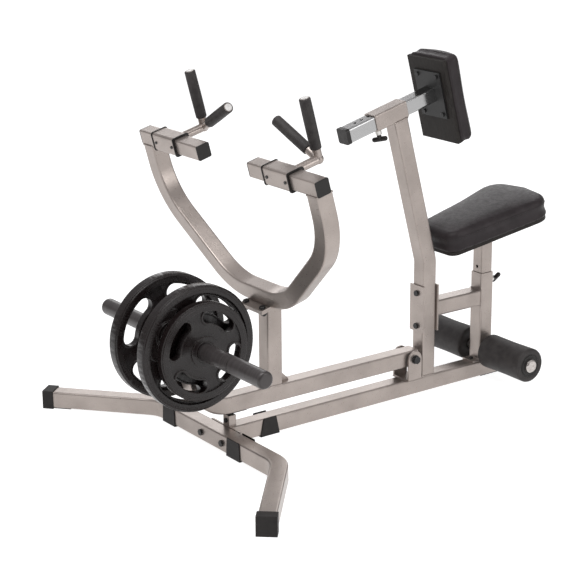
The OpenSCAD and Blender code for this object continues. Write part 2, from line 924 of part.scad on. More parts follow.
module carriage_liners(x) {
  carriage_frame(x) for (s = [-1, 1]) scale([s, 1, 1]) translate([carriage_len / 2, 0, 0]) {
    across(-liner_len) linear_extrude(liner_len) difference() {
      round_square(carriage_in, tube_r);
      round_square(sleeve_in, tube_r);
    }
    across(0) linear_extrude(liner_flange) difference() {
      round_square(carriage_w + 2 * flange_over, tube_r + carriage_wall);
      round_square(sleeve_in, tube_r);
    }
  }
}

module carriage_liners_left() {
  color([0.1, 0.1, 0.1]) carriage_liners(carriage_x_left);
}

module carriage_liners_right() {
  color([0.1, 0.1, 0.1]) mirror([1, 0, 0]) carriage_liners(carriage_x_right);
}

module carriage_screws(x) {
  carriage_frame(x) for (s = [-1, 1])
    translate([s * (carriage_len / 2 - screw_in), -carriage_w / 2, 0]) rotate([-90, 0, 0]) {
      translate([0, 0, -screw_h]) cylinder(r = screw_r, h = screw_h);
      cylinder(r = screw_shank, h = carriage_wall);
    }
}

module carriage_screws_left() {
  color([0.15, 0.15, 0.15]) carriage_screws(carriage_x_left);
}

module carriage_screws_right() {
  color([0.15, 0.15, 0.15]) mirror([1, 0, 0]) carriage_screws(carriage_x_right);
}

module grips(x) {
  carriage_frame(x) translate([0, stem_len, 0]) {
    difference() {
      translate([0, 0, grip_up[0]]) cylinder(r = grip_r, h = grip_up[1] - grip_up[0]);
      cylinder(r = bar_r, h = grip_up[1] + past);
    }
    difference() {
      inner_bar(grip_in[0], grip_in[1], grip_r);
      inner_bar(0, grip_in[1] + past, bar_r);
    }
  }
}

module grips_left() {
  color([0.12, 0.12, 0.12]) grips(carriage_x_left);
}

module grips_right() {
  color([0.12, 0.12, 0.12]) mirror([1, 0, 0]) grips(carriage_x_right);
}

module grip_plugs(x) {
  carriage_frame(x) translate([0, stem_len, 0]) {
    translate([0, 0, grip_up[1]]) cylinder(r = bar_plug_r, h = bar_plug_t);
    inner_bar(grip_in[1], grip_in[1] + bar_plug_t, bar_plug_r);
  }
}

module grip_plugs_left() {
  color([0.85, 0.85, 0.85]) grip_plugs(carriage_x_left);
}

module grip_plugs_right() {
  color([0.85, 0.85, 0.85]) mirror([1, 0, 0]) grip_plugs(carriage_x_right);
}

// ---- chest pad ----

module pad_screw_places() {
  for (x = [-1, 1]) for (z = [-1, 1]) lean_frame()
    translate([x * pad_screw_x, pad_tube_rear, pad_z + z * pad_screw_z]) rotate([-90, 0, 0]) children();
}

module pad_tube() {
  color([0.8, 0.8, 0.82]) difference() {
    lean_frame() {
      translate([0, pad_tube_front, pad_z]) rotate([-90, 0, 0])
        square_tube(pad_tube_len, slide_w, tube_t);
      translate([-pad_plate_w / 2, pad_tube_rear, pad_z - pad_plate_h / 2])
        cube([pad_plate_w, plate_steel, pad_plate_h]);
    }
    lean_frame() for (k = [-pad_steps : pad_steps])
      translate([0, pad_pin_y + k * pad_pitch, pad_z - tube_w])
        cylinder(r = pin_r + pin_hole_gap, h = 2 * tube_w);
    pad_screw_places() translate([0, 0, -past])
      cylinder(r = wood_screw_r, h = plate_steel + 2 * past);
  }
}

module pad_tube_cap() {
  color([0.1, 0.1, 0.1]) lean_frame() translate([0, pad_tube_front, pad_z]) rotate([-90, 0, 0])
    difference() {
      translate([0, 0, -plug_t]) linear_extrude(cup_len + plug_t)
        round_square(slide_w + 2 * cup_t, tube_r + cup_t);
      linear_extrude(cup_len + past) round_square(slide_w, tube_r);
    }
}

pad_mid_z = pad_z - pad_drop;

module pad_board() {
  color([0.1, 0.1, 0.1]) difference() {
    lean_frame() translate([board_in - pad_w / 2, pad_tube_rear + plate_steel, pad_mid_z])
      translate([0, 0, board_in - pad_h / 2]) cube([pad_w - 2 * board_in, board_t, pad_h - 2 * board_in]);
    pad_screw_places() cylinder(r = wood_screw_r, h = plate_steel + wood_screw_len);
  }
}

module pad_cushion() {
  color([0.2, 0.2, 0.21]) lean_frame()
    translate([0, pad_tube_rear + plate_steel + board_t, pad_mid_z]) hull() {
      for (x = [-1, 1]) for (z = [-1, 1]) {
        translate([x * (pad_w / 2 - edge_r), 0, z * (pad_h / 2 - edge_r)]) rotate([-90, 0, 0])
          cylinder(r = edge_r, h = pad_back, $fn = 24);
        translate([x * (pad_w / 2 - edge_r), pad_t - edge_r, z * (pad_h / 2 - edge_r)])
          sphere(r = edge_r, $fn = 24);
        translate([x * pad_w * pad_bulge_share, pad_t - edge_r + pad_bulge - pad_bulge_fall,
          z * (pad_h / 2 - edge_r)]) sphere(r = edge_r, $fn = 24);
      }
      for (z = [-1, 1]) translate([0, pad_t - edge_r + pad_bulge,
        z * (pad_h / 2 - edge_r - pad_bulge_in)]) sphere(r = edge_r, $fn = 24);
    }
}

module pad_screws() {
  color([0.25, 0.25, 0.25]) pad_screw_places() wood_screw();
}

// ---- pull pins ----

// spring pin along +Z, zero at the outer face of its sleeve
module pull_pin() {
  translate([0, 0, -pin_tip]) cylinder(r = pin_r, h = pin_tip + tee_off);
  translate([0, 0, housing_len + stalk_gap])
    cylinder(r = stalk_r, h = tee_off - housing_len - stalk_gap);
  translate([0, 0, tee_off]) rotate([0, 90, tee_turn]) translate([0, 0, tee_r - tee_len / 2]) {
    cylinder(r = tee_r, h = tee_len - 2 * tee_r);
    sphere(r = tee_r);
    translate([0, 0, tee_len - 2 * tee_r]) sphere(r = tee_r);
  }
}

module pad_pin() {
  color([0.1, 0.1, 0.1]) lean_frame() translate([0, pad_pin_y, pad_z - half])
    rotate([180, 0, 0]) pull_pin();
}

module seat_pin() {
  color([0.1, 0.1, 0.1]) machine() translate([0, seat_post_y + half, seat_pin_z])
    rotate([-90, 0, 0]) pull_pin();
}

// ---- seat ----

module seat_screw_places() {
  for (x = [-1, 1]) for (y = [-1, 1]) seat_frame()
    translate([x * mount_screw_x, y * mount_screw_y, -plate_steel]) children();
}

module seat_tube() {
  color([0.72, 0.68, 0.65]) difference() {
    union() {
      difference() {
        machine() translate([0, seat_post_y, seat_tube_bottom])
          square_tube(seat_z - seat_tube_bottom + half, slide_w, tube_t);
        seat_frame() translate([-reach / 2, -reach / 2, -plate_steel]) cube([reach, reach, reach]);
      }
      seat_frame() translate([-mount_w / 2, -mount_l / 2, -plate_steel])
        cube([mount_w, mount_l, plate_steel]);
    }
    for (k = [-seat_down : seat_up]) machine()
      translate([0, seat_post_y - tube_w, seat_pin_z - k * seat_pitch]) rotate([-90, 0, 0])
        cylinder(r = pin_r + pin_hole_gap, h = 2 * tube_w);
    seat_screw_places() translate([0, 0, -past])
      cylinder(r = wood_screw_r, h = plate_steel + 2 * past);
  }
}

// tapered seat outline with rounded corners and a bowed rear edge
module seat_outline(grow) {
  hull() {
    for (s = [-1, 1]) {
      translate([s * (seat_front_w / 2 - seat_front_r), seat_front_r - seat_len / 2])
        circle(r = seat_front_r + grow, $fn = 32);
      translate([s * (seat_rear_w / 2 - seat_rear_r), seat_len / 2 - seat_rear_r - seat_rear_bow])
        circle(r = seat_rear_r + grow, $fn = 32);
    }
    translate([0, seat_len / 2 - seat_rear_r]) circle(r = seat_rear_r + grow, $fn = 32);
  }
}

module seat_board() {
  color([0.1, 0.1, 0.1]) difference() {
    seat_frame() linear_extrude(board_t) seat_outline(-board_in);
    seat_screw_places() cylinder(r = wood_screw_r, h = plate_steel + wood_screw_len);
  }
}

module seat_cushion() {
  color([0.2, 0.2, 0.21]) seat_frame() translate([0, 0, board_t]) hull() {
    linear_extrude(seat_t - edge_r) seat_outline(0);
    linear_extrude(seat_t - edge_r / 3) seat_outline(-edge_r / 3);
    linear_extrude(seat_t) seat_outline(-edge_r);
  }
}

module seat_screws() {
  color([0.25, 0.25, 0.25]) seat_screw_places() wood_screw();
}

// ---- weight plates ----

// arc-shaped grip hole, its middle on the +X axis
module arc_slot(r1, r2, span, h) {
  mid = (r1 + r2) / 2;
  rotate([0, 0, -span / 2]) rotate_extrude(angle = span, $fn = 96)
    translate([r1, -h / 2]) square([r2 - r1, h]);
  for (s = [-1, 1]) rotate([0, 0, s * span / 2]) translate([mid, 0, 0])
    cylinder(r = (r2 - r1) / 2, h = h, center = true);
}

// round plate along +Z, its inner face at zero
module weight_plate(r, t) {
  difference() {
    union() {
      rotate_extrude($fn = 96) {
        translate([0, (t - web_t) / 2]) square([r - rim_w / 2, web_t]);
        translate([0, hub_dip]) square([hub_r, t - 2 * hub_dip]);
        translate([r - rim_w, 0]) square([rim_w - rim_step, t]);
        translate([r - rim_w, rim_step]) square([rim_w, t - 2 * rim_step]);
      }
      for (k = [0 : windows - 1]) rotate([0, 0, window_turn + k * 360 / windows])
        translate([0, 0, t / 2])
          arc_slot(r * window_in - lip_w, r * window_out + lip_w, window_span, lip_t);
    }
    for (k = [0 : windows - 1]) rotate([0, 0, window_turn + k * 360 / windows])
      translate([0, 0, t / 2]) arc_slot(r * window_in, r * window_out, window_span, 2 * t);
    translate([0, 0, -past]) cylinder(r = horn_r + bore_gap, h = t + 2 * past);
  }
}

module plate_left() {
  color([0.08, 0.08, 0.08]) horn_frame() across(plate_x) weight_plate(plate_r, plate_t);
}

module plate_small() {
  color([0.08, 0.08, 0.08]) horn_frame() across(small_x) weight_plate(small_r, small_t);
}

module plate_right() {
  color([0.08, 0.08, 0.08]) mirror([1, 0, 0]) horn_frame() across(plate_x)
    weight_plate(plate_r, plate_t);
}

front_stabilizer();
stabilizer_caps();
clip_feet();
main_rail();
rail_cap();
frame_bolts();
upright_post();
pad_sleeve();
pin_housings();
bracket_plates();
seat_brace();
seat_post();
pivot_bracket();
pivot_bolt();
lever_stop();
stop_bumper();
roller_shaft();
roller_caps();
roller_foam_left();
roller_core_left();
roller_foam_right();
roller_core_right();
lever_arm();
pivot_bushings();
stop_strip();
lever_post();
post_gusset();
yoke_plate();
yoke();
yoke_bolts();
slide_tubes();
slide_plugs();
horn_core();
horn_sleeves();
horn_collars();
carriage_left();
carriage_right();
carriage_liners_left();
carriage_liners_right();
carriage_screws_left();
carriage_screws_right();
grips_left();
grips_right();
grip_plugs_left();
grip_plugs_right();
pad_tube();
pad_tube_cap();
pad_board();
pad_cushion();
pad_screws();
pad_pin();
seat_tube();
seat_board();
seat_cushion();
seat_screws();
seat_pin();
plate_left();
plate_small();
plate_right();
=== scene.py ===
"""The looks of a plate-loaded lever row: materials, upholstery, foam, weld beads, floor and light.

All sizes are metres, +Z up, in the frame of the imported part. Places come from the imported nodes.
"""

import json
import math

import bmesh
import bpy
import numpy as np
from mathutils import Matrix, Vector


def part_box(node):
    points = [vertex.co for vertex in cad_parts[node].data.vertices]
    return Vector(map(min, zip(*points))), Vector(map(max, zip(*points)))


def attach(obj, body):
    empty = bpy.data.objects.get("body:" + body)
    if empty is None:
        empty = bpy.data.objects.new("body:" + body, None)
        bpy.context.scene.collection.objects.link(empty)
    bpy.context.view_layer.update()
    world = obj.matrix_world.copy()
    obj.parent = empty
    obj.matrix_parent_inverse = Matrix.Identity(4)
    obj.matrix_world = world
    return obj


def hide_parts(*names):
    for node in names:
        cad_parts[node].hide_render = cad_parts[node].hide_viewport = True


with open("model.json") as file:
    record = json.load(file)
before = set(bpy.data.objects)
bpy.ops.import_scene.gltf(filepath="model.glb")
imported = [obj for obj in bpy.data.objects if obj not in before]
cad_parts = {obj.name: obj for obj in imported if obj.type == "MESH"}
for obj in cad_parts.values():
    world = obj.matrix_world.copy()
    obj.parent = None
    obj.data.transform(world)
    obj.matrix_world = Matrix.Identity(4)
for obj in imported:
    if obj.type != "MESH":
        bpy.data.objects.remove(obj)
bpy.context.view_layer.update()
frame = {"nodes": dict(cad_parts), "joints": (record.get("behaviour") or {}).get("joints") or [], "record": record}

JOINTS = {joint["name"]: joint for joint in frame["joints"]}

# Directions of the leaning sleeve: along the chest pad's tube, and square to it, upwards
LEAN_ALONG = np.array(JOINTS["chest_pad_slide"]["axis"])
LEAN_UP = np.array([0, -LEAN_ALONG[2], LEAN_ALONG[1]])

# Camera, as seen from the front left of the machine
CAMERA_PLACE = (3.7678, -2.9211, 1.8332)
CAMERA_AZIMUTH = math.radians(54.05)
CAMERA_ELEVATION = math.radians(16.98)
CAMERA_ROLL = math.radians(-0.39)
CAMERA_LENS = 102.63
SENSOR = 36.0

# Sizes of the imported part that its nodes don't state
TUBE_HALF = 0.0254
TUBE_CORNER = 0.005
SEAT_TILT = math.radians(12)
FLANGE_THICK = 0.005
HUB_RING = 0.031
HUB_DIP = 0.001
ROLLER_BORE = 0.0201
GRIP_BAR = 0.0128
GRIP_RADIUS = 0.016
GRIP_RISE = math.radians(28)

# Where each grip starts and ends, from the joint of its handle
GRIP_UP = (0.030, 0.176)
GRIP_IN = (0.042, 0.185)

# Cushions: thickness, shoulder, lip and pinch of the side, then how a cover is blown up
SEAT_SIZES = (0.0615, 0.017, 0.004, 0.0035)
CHEST_SIZES = (0.046, 0.013, 0.004, 0.002)
COVER_PRESSURE = 4.0
COVER_FRAMES = 20
SMOOTHING_ROUNDS = 60
HELD_HEIGHT = 0.003

# Points round the small circle of a bead or welt, and of a ring, whose last point is dropped
BEAD_STEPS = 8
RING_POINTS = 13

SHARP_ANGLE = math.radians(32)


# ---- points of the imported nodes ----


def coordinates(mesh):
    """The points of a mesh as rows of x, y, z."""
    points = np.empty(len(mesh.vertices) * 3)
    mesh.vertices.foreach_get("co", points)
    return points.reshape(-1, 3)


def node_points(node):
    """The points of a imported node."""
    return coordinates(frame["nodes"][node].data)


# ---- camera, floor and light ----


def make_camera():
    """Looks along the azimuth and down by the elevation, rolled about its own line of sight."""
    data = bpy.data.cameras.new("camera")
    data.lens = CAMERA_LENS
    data.sensor_width = SENSOR
    camera = bpy.data.objects.new("camera", data)
    bpy.context.scene.collection.objects.link(camera)
    turn = Matrix.Rotation(CAMERA_AZIMUTH, 4, "Z")
    tip = Matrix.Rotation(math.pi / 2 - CAMERA_ELEVATION, 4, "X")
    roll = Matrix.Rotation(CAMERA_ROLL, 4, "Z")
    camera.matrix_world = Matrix.Translation(CAMERA_PLACE) @ turn @ tip @ roll
    bpy.context.scene.camera = camera


def area_light(name, place, target, size, watts):
    """A white rectangle that faces the target."""
    data = bpy.data.lights.new(name, "AREA")
    data.shape = "RECTANGLE"
    data.size, data.size_y = size
    data.energy = watts
    light = bpy.data.objects.new(name, data)
    bpy.context.scene.collection.objects.link(light)
    light.location = place
    light.rotation_euler = (Vector(target) - Vector(place)).to_track_quat("-Z", "Y").to_euler()


def colour_ramp(tree, value, first, second):
    """Colour that goes from one (position, colour) to another as value rises."""
    ramp = tree.nodes.new("ShaderNodeValToRGB")
    for element, (position, colour) in zip(ramp.color_ramp.elements, (first, second)):
        element.position = position
        element.color = (*colour, 1)
    tree.links.new(value, ramp.inputs["Fac"])
    return ramp.outputs["Color"]


def make_world():
    """White where the camera sees it; for the rest a soft room, bright above and dim below."""
    world = bpy.data.worlds.new("studio")
    bpy.context.scene.world = world
    world.use_nodes = True
    tree = world.node_tree
    tree.nodes.clear()
    output = tree.nodes.new("ShaderNodeOutputWorld")
    mix = tree.nodes.new("ShaderNodeMixShader")
    seen = tree.nodes.new("ShaderNodeBackground")
    room = tree.nodes.new("ShaderNodeBackground")
    path = tree.nodes.new("ShaderNodeLightPath")
    place = tree.nodes.new("ShaderNodeTexCoord")
    axes = tree.nodes.new("ShaderNodeSeparateXYZ")
    seen.inputs["Color"].default_value = (1, 1, 1, 1)
    shift = tree.nodes.new("ShaderNodeMapRange")
    shift.inputs["From Min"].default_value = -1
    tree.links.new(place.outputs["Generated"], axes.inputs[0])
    tree.links.new(axes.outputs["Z"], shift.inputs["Value"])
    dim, bright = (0.45, (0.11, 0.10, 0.095)), (0.85, (0.62, 0.61, 0.62))
    tree.links.new(colour_ramp(tree, shift.outputs[0], dim, bright), room.inputs["Color"])
    tree.links.new(path.outputs["Is Camera Ray"], mix.inputs["Fac"])
    tree.links.new(room.outputs[0], mix.inputs[1])
    tree.links.new(seen.outputs[0], mix.inputs[2])
    tree.links.new(mix.outputs[0], output.inputs["Surface"])


def make_floor():
    """A wide pale floor that glows a little, so that it fades into the backdrop."""
    half = 30.0
    mesh = bpy.data.meshes.new("floor")
    corners = [(-half, -half, 0), (half, -half, 0), (half, half, 0), (-half, half, 0)]
    mesh.from_pydata(corners, [], [(0, 1, 2, 3)])
    floor = bpy.data.objects.new("floor", mesh)
    bpy.context.scene.collection.objects.link(floor)
    paper, _, shader = new_material("floor_paper", (0.42, 0.42, 0.42), 0.0, 0.9)
    shader.inputs["Specular IOR Level"].default_value = 0.1
    shader.inputs["Emission Color"].default_value = (1, 1, 1, 1)
    shader.inputs["Emission Strength"].default_value = 0.86
    mesh.materials.append(paper)


# ---- material nodes ----


def new_material(name, colour, metallic, roughness):
    """A material, its node tree and its Principled shader."""
    material = bpy.data.materials.new(name)
    material.use_nodes = True
    shader = material.node_tree.nodes["Principled BSDF"]
    shader.inputs["Base Color"].default_value = (*colour, 1)
    shader.inputs["Metallic"].default_value = metallic
    shader.inputs["Roughness"].default_value = roughness
    return material, material.node_tree, shader


def object_place(tree, scale=(1, 1, 1)):
    """Object coordinates, stretched along each axis by scale."""
    place = tree.nodes.new("ShaderNodeTexCoord")
    mapping = tree.nodes.new("ShaderNodeMapping")
    mapping.inputs["Scale"].default_value = scale
    tree.links.new(place.outputs["Object"], mapping.inputs["Vector"])
    return mapping.outputs["Vector"]


def noise(tree, place, size, detail=3.0):
    """Cloudy noise whose features are about size across."""
    node = tree.nodes.new("ShaderNodeTexNoise")
    node.inputs["Scale"].default_value = 1 / size
    node.inputs["Detail"].default_value = detail
    tree.links.new(place, node.inputs["Vector"])
    return node.outputs["Fac"]


def cells(tree, place, size):
    """Distance from the middle of irregular cells that are about size across."""
    node = tree.nodes.new("ShaderNodeTexVoronoi")
    node.inputs["Scale"].default_value = 1 / size
    tree.links.new(place, node.inputs["Vector"])
    return node.outputs["Distance"]


def vary_roughness(tree, shader, value, low, high):
    """Roughness that goes from low to high as value goes from 0.3 to 0.7."""
    node = tree.nodes.new("ShaderNodeMapRange")
    node.inputs["From Min"].default_value = 0.3
    node.inputs["From Max"].default_value = 0.7
    node.inputs["To Min"].default_value = low
    node.inputs["To Max"].default_value = high
    tree.links.new(value, node.inputs["Value"])
    tree.links.new(node.outputs["Result"], shader.inputs["Roughness"])


def tint(tree, shader, value, dark, light):
    """Base colour that drifts from dark to light with value."""
    colour = colour_ramp(tree, value, (0.3, dark), (0.7, light))
    tree.links.new(colour, shader.inputs["Base Color"])


def bump(tree, shader, height, depth, strength, under=None):
    """Surface relief of the given depth; under is relief that lies below it."""
    node = tree.nodes.new("ShaderNodeBump")
    node.inputs["Distance"].default_value = depth
    node.inputs["Strength"].default_value = strength
    tree.links.new(height, node.inputs["Height"])
    if under is not None:
        tree.links.new(under, node.inputs["Normal"])
    tree.links.new(node.outputs["Normal"], shader.inputs["Normal"])
    return node.outputs["Normal"]


def softened_edge(tree, radius):
    """Normal that rounds hard edges by radius."""
    node = tree.nodes.new("ShaderNodeBevel")
    node.samples = 4
    node.inputs["Radius"].default_value = radius
    return node.outputs["Normal"]


def edge_wear_and_highlight(tree, shader, radius, plain, worn_and_lit):
    """Base colour that turns from plain to a lighter edge colour where an edge is tighter than radius: rubbed wear
    together with a painted edge highlight.
    """
    edge = softened_edge(tree, radius)
    geometry = tree.nodes.new("ShaderNodeNewGeometry")
    dot = tree.nodes.new("ShaderNodeVectorMath")
    dot.operation = "DOT_PRODUCT"
    tree.links.new(edge, dot.inputs[0])
    tree.links.new(geometry.outputs["Normal"], dot.inputs[1])
    # Lighter colour on tight edges: rubbed wear together with a painted edge highlight
    colour = colour_ramp(tree, dot.outputs["Value"], (0.86, worn_and_lit), (0.99, plain))
    tree.links.new(colour, shader.inputs["Base Color"])


# ---- materials ----


def silver_powder_coat():
    """Metallic silver powder coat: fine orange peel, faint flake and slow changes of tone."""
    material, tree, shader = new_material("silver_powder_coat", (0.32, 0.278, 0.255), 0.78, 0.34)
    place = object_place(tree)
    tint(tree, shader, noise(tree, place, 0.09), (0.30, 0.262, 0.24), (0.375, 0.328, 0.302))
    vary_roughness(tree, shader, noise(tree, place, 0.004), 0.27, 0.38)
    edge = softened_edge(tree, 0.0012)
    peel = bump(tree, shader, noise(tree, place, 0.0016, 2), 0.00012, 0.6, edge)
    bump(tree, shader, cells(tree, place, 0.0005), 0.00003, 0.35, peel)
    return material


def chrome():
    """Bright plated tube with faint polishing marks; the flange beyond its end is painted black."""
    material, tree, shader = new_material("chrome_plate", (0.78, 0.78, 0.79), 1.0, 0.13)
    end = (node_points("pad_tube") @ LEAN_ALONG).max() - FLANGE_THICK
    place = tree.nodes.new("ShaderNodeTexCoord")
    dot = tree.nodes.new("ShaderNodeVectorMath")
    dot.operation = "DOT_PRODUCT"
    dot.inputs[1].default_value = tuple(LEAN_ALONG)
    tree.links.new(place.outputs["Object"], dot.inputs[0])
    looks = (("Metallic", 1, 0.2), ("Roughness", 0.16, 0.5), ("Base Color", 0.4, 0.014))
    for name, tube, flange in looks:
        ramp = tree.nodes.new("ShaderNodeMapRange")
        ramp.inputs["From Min"].default_value = end - 0.001
        ramp.inputs["From Max"].default_value = end - 0.0004
        ramp.inputs["To Min"].default_value = tube
        ramp.inputs["To Max"].default_value = flange
        tree.links.new(dot.outputs["Value"], ramp.inputs["Value"])
        tree.links.new(ramp.outputs["Result"], shader.inputs[name])
    marks = noise(tree, object_place(tree, (1, 0.08, 1)), 0.0012)
    bump(tree, shader, marks, 0.00002, 0.4, softened_edge(tree, 0.001))
    return material


def black_vinyl():
    """Soft grained vinyl: small pebbles, creases between them and a low sheen."""
    material, tree, shader = new_material("black_vinyl", (0.024, 0.021, 0.024), 0.0, 0.42)
    shader.inputs["Sheen Weight"].default_value = 0.03
    shader.inputs["Specular IOR Level"].default_value = 0.2
    place = object_place(tree)
    tint(tree, shader, noise(tree, place, 0.05), (0.014, 0.0105, 0.0115), (0.024, 0.019, 0.0205))
    vary_roughness(tree, shader, noise(tree, place, 0.012), 0.38, 0.52)
    creases = bump(tree, shader, noise(tree, place, 0.006, 5), 0.0004, 0.35)
    bump(tree, shader, cells(tree, place, 0.0013), 0.00018, 0.7, creases)
    return material


def moulded_rubber():
    """Dull black rubber."""
    material, tree, shader = new_material("moulded_rubber", (0.009, 0.007, 0.006), 0.0, 0.55)
    shader.inputs["Specular IOR Level"].default_value = 0.3
    place = object_place(tree)
    tint(tree, shader, noise(tree, place, 0.03), (0.007, 0.005, 0.005), (0.014, 0.012, 0.011))
    bump(tree, shader, noise(tree, place, 0.0009, 3), 0.0001, 0.5, softened_edge(tree, 0.0012))
    return material


def moulded_plastic():
    """Black plastic, slightly uneven in its gloss."""
    material, tree, shader = new_material("moulded_plastic", (0.009, 0.0075, 0.007), 0.0, 0.4)
    shader.inputs["Specular IOR Level"].default_value = 0.32
    place = object_place(tree)
    vary_roughness(tree, shader, noise(tree, place, 0.01), 0.28, 0.44)
    bump(tree, shader, noise(tree, place, 0.0006, 2), 0.00005, 0.5, softened_edge(tree, 0.0008))
    return material


def black_oxide():
    """Blackened steel, lighter along its edges: rubbed wear together with a painted edge highlight."""
    material, tree, shader = new_material("black_oxide", (0.03, 0.03, 0.03), 0.6, 0.36)
    # Edges lighter: rubbed wear together with a painted edge highlight
    edge_wear_and_highlight(tree, shader, 0.0008, (0.025, 0.025, 0.026), (0.16, 0.155, 0.15))
    place = object_place(tree)
    bump(tree, shader, noise(tree, place, 0.0008), 0.00005, 0.5, softened_edge(tree, 0.0006))
    return material


def zinc():
    """Zinc plate with faint clouds."""
    material, tree, shader = new_material("zinc_plate", (0.58, 0.57, 0.55), 1.0, 0.32)
    place = object_place(tree)
    tint(tree, shader, noise(tree, place, 0.006), (0.50, 0.49, 0.47), (0.66, 0.65, 0.63))
    bump(tree, shader, noise(tree, place, 0.0008), 0.00003, 0.5, softened_edge(tree, 0.0008))
    return material


def bright_cap():
    """Brushed bright end cap."""
    material, tree, shader = new_material("bright_cap", (0.5, 0.46, 0.43), 0.9, 0.24)
    place = object_place(tree)
    tint(tree, shader, noise(tree, place, 0.008), (0.36, 0.33, 0.31), (0.58, 0.55, 0.53))
    bump(tree, shader, noise(tree, place, 0.002), 0.0001, 0.5, softened_edge(tree, 0.001))
    return material


def grip_foam():
    """Dense closed-cell foam with open pores."""
    material, tree, shader = new_material("grip_foam", (0.022, 0.019, 0.018), 0.0, 0.62)
    shader.inputs["Specular IOR Level"].default_value = 0.4
    place = object_place(tree)
    tint(tree, shader, noise(tree, place, 0.02), (0.017, 0.014, 0.014), (0.032, 0.028, 0.027))
    pores = bump(tree, shader, cells(tree, place, 0.0011), 0.00022, 0.5)
    bump(tree, shader, noise(tree, place, 0.004), 0.0003, 0.3, pores)
    return material


def horn_sleeve():
    """Satin grey sleeve with faint rings that plates have rubbed."""
    material, tree, shader = new_material("horn_sleeve", (0.055, 0.055, 0.058), 0.25, 0.34)
    rings = noise(tree, object_place(tree, (1, 0.03, 0.03)), 0.004, 4)
    tint(tree, shader, rings, (0.036, 0.031, 0.031), (0.06, 0.053, 0.053))
    vary_roughness(tree, shader, rings, 0.27, 0.42)
    bump(tree, shader, rings, 0.00006, 0.5)
    return material


def painted_board():
    """Black painted plywood with its grain just showing."""
    material, tree, shader = new_material("painted_board", (0.014, 0.011, 0.01), 0.0, 0.6)
    shader.inputs["Specular IOR Level"].default_value = 0.22
    grain = noise(tree, object_place(tree, (1, 0.12, 0.12)), 0.003, 4)
    tint(tree, shader, grain, (0.010, 0.008, 0.007), (0.02, 0.017, 0.015))
    bump(tree, shader, grain, 0.0003, 0.5, softened_edge(tree, 0.001))
    return material


def plug_white():
    """Pale plastic plug."""
    material, tree, shader = new_material("white_plastic", (0.82, 0.82, 0.8), 0.0, 0.3)
    place = object_place(tree)
    tint(tree, shader, noise(tree, place, 0.01), (0.5, 0.49, 0.48), (0.62, 0.61, 0.6))
    bump(tree, shader, noise(tree, place, 0.001), 0.00005, 0.4, softened_edge(tree, 0.0006))
    return material


def plate_enamel():
    """Black enamel over cast iron: a pitted, slightly wavy skin, brighter on its edges from rubbed wear together
    with a painted rim highlight.
    """
    material, tree, shader = new_material("plate_enamel", (0.009, 0.006, 0.006), 0.0, 0.26)
    shader.inputs["Specular IOR Level"].default_value = 0.36
    # Rims and edges brighter: rubbed wear together with a painted rim highlight
    edge_wear_and_highlight(tree, shader, 0.002, (0.009, 0.006, 0.006), (0.05, 0.042, 0.04))
    place = object_place(tree)
    vary_roughness(tree, shader, noise(tree, place, 0.015), 0.2, 0.36)
    edge = softened_edge(tree, 0.002)
    waves = bump(tree, shader, noise(tree, place, 0.011, 2), 0.0005, 0.35, edge)
    bump(tree, shader, noise(tree, place, 0.0014, 4), 0.00014, 0.5, waves)
    return material


MAKERS = {
    "frame_paint": silver_powder_coat,
    "chrome_tube": chrome,
    "vinyl": black_vinyl,
    "black_rubber": moulded_rubber,
    "black_plastic": moulded_plastic,
    "black_steel": black_oxide,
    "zinc": zinc,
    "bright_cap": bright_cap,
    "foam": grip_foam,
    "horn_grey": horn_sleeve,
    "board": painted_board,
    "white_plastic": plug_white,
    "plate_black": plate_enamel,
}
MATERIALS = {slot: make() for slot, make in MAKERS.items()}


def paint_cad_nodes():
    """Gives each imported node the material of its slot."""
    for part in frame["record"]["subparts"]:
        mesh = frame["nodes"][part["node"]].data
        mesh.materials.clear()
        mesh.materials.append(MATERIALS[part["material_slot"]])


# ---- shapes ----


def grid_faces(rows, columns, wrap_rows=False):
    """Quads between neighbouring rings; each ring closes on itself."""
    last = rows if wrap_rows else rows - 1
    row, column = np.meshgrid(np.arange(last), np.arange(columns), indexing="ij")
    below = (row + 1) % rows
    beside = (column + 1) % columns
    here, there = row * columns, below * columns
    corners = (here + column, here + beside, there + beside, there + column)
    return np.stack(corners, -1).reshape(-1, 4)


def make_piece(name, points, faces, slot, body):
    """A smooth mesh with outward faces, which rides on a body."""
    mesh = bpy.data.meshes.new(name)
    points = np.asarray(points, float).reshape(-1, 3)
    mesh.from_pydata(points.tolist(), [], [list(face) for face in faces])
    mesh.validate()
    tidy_mesh(mesh)
    mesh.materials.append(MATERIALS[slot])
    piece = bpy.data.objects.new(name, mesh)
    bpy.context.scene.collection.objects.link(piece)
    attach(piece, body)
    return piece


def tidy_mesh(mesh):
    """Merges doubled points, turns the faces outwards and shades them smoothly."""
    work = bmesh.new()
    work.from_mesh(mesh)
    bmesh.ops.remove_doubles(work, verts=work.verts, dist=1e-6)
    bmesh.ops.recalc_face_normals(work, faces=work.faces)
    for face in work.faces:
        face.smooth = True
    work.to_mesh(mesh)
    work.free()


def basis(axis):
    """Two directions square to axis and to each other."""
    axis = np.asarray(axis, float)
    axis = axis / np.linalg.norm(axis)
    other = np.array([0, 0, 1.0]) if abs(axis[2]) < 0.9 else np.array([1.0, 0, 0])
    side = np.cross(other, axis)
    side /= np.linalg.norm(side)
    return axis, side, np.cross(axis, side)


def lathe(start, axis, profile, steps=72):
    """A profile of (distance along the axis, radius) turned once round the axis: each ring is the
    start plus the distance along the axis plus the radius times the cosine and sine of the turn."""
    axis, side, up = basis(axis)
    turn = np.linspace(0, 2 * np.pi, steps, endpoint=False)
    ring = np.cos(turn)[:, None] * side + np.sin(turn)[:, None] * up
    profile = np.asarray(profile, float)
    return np.asarray(start) + profile[:, :1, None] * axis + profile[:, 1:, None] * ring


